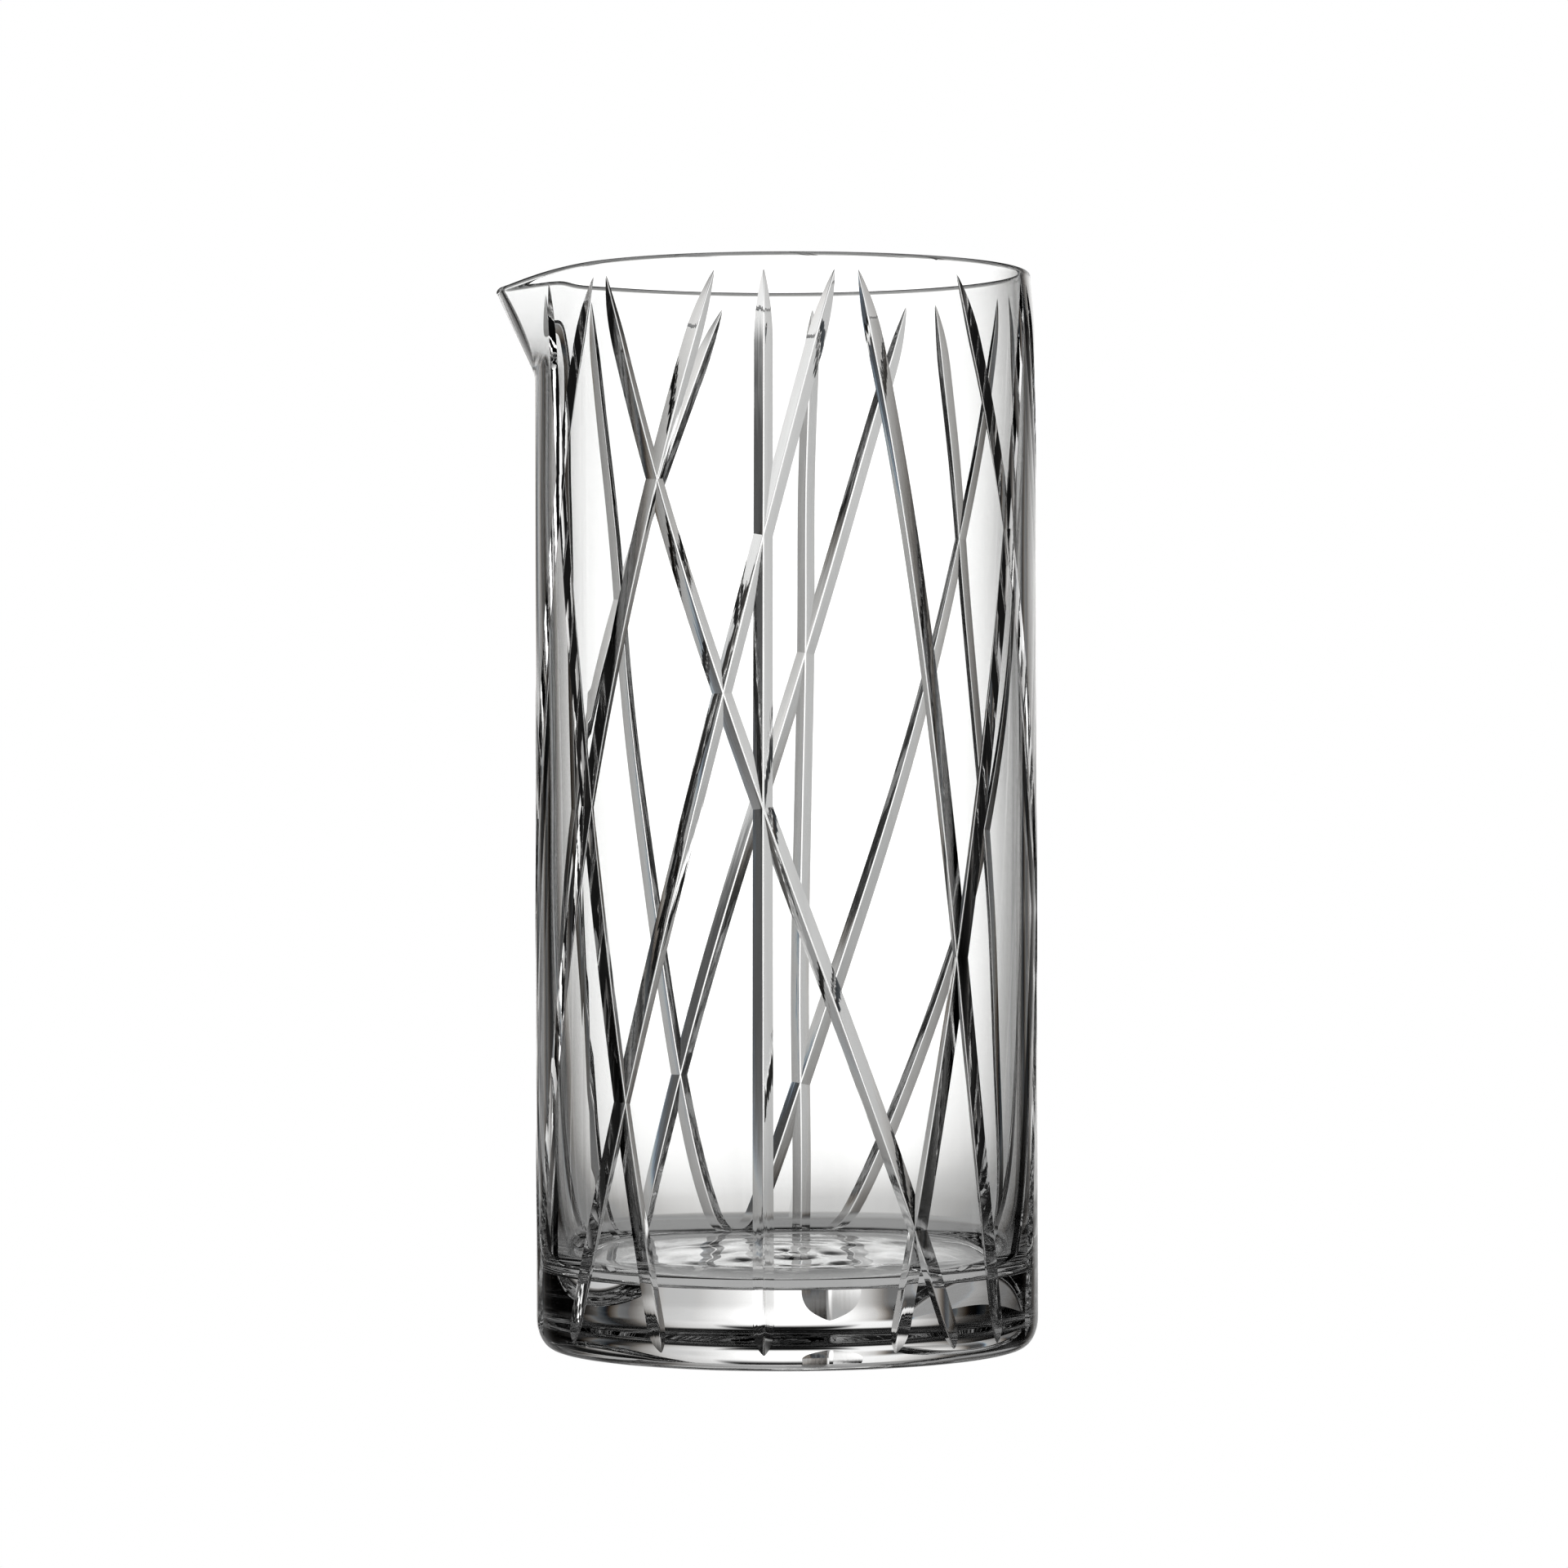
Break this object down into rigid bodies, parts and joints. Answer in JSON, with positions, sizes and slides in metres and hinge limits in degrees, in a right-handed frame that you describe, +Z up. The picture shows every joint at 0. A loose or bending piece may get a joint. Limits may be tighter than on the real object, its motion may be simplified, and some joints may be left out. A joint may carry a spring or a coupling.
{
  "type": "mixing glass",
  "caption": "Tall straight-sided stirring glass of clear cut crystal, with sweeping V-shaped cuts, a solid base and a pulled pouring spout in the rim.",
  "frame": {"origin": "centre of the round underside, on the plane the glass stands on", "axes": "+Z up along the body's axis, -X towards the pouring spout, +Y away from the reference viewer"},
  "size_m": [0.0924, 0.086, 0.1837],
  "materials": {
    "crystal": "clear polished crystal"
  },
  "bodies": {
    "root": {"glass_body": "crystal"}
  },
  "joints": []
}
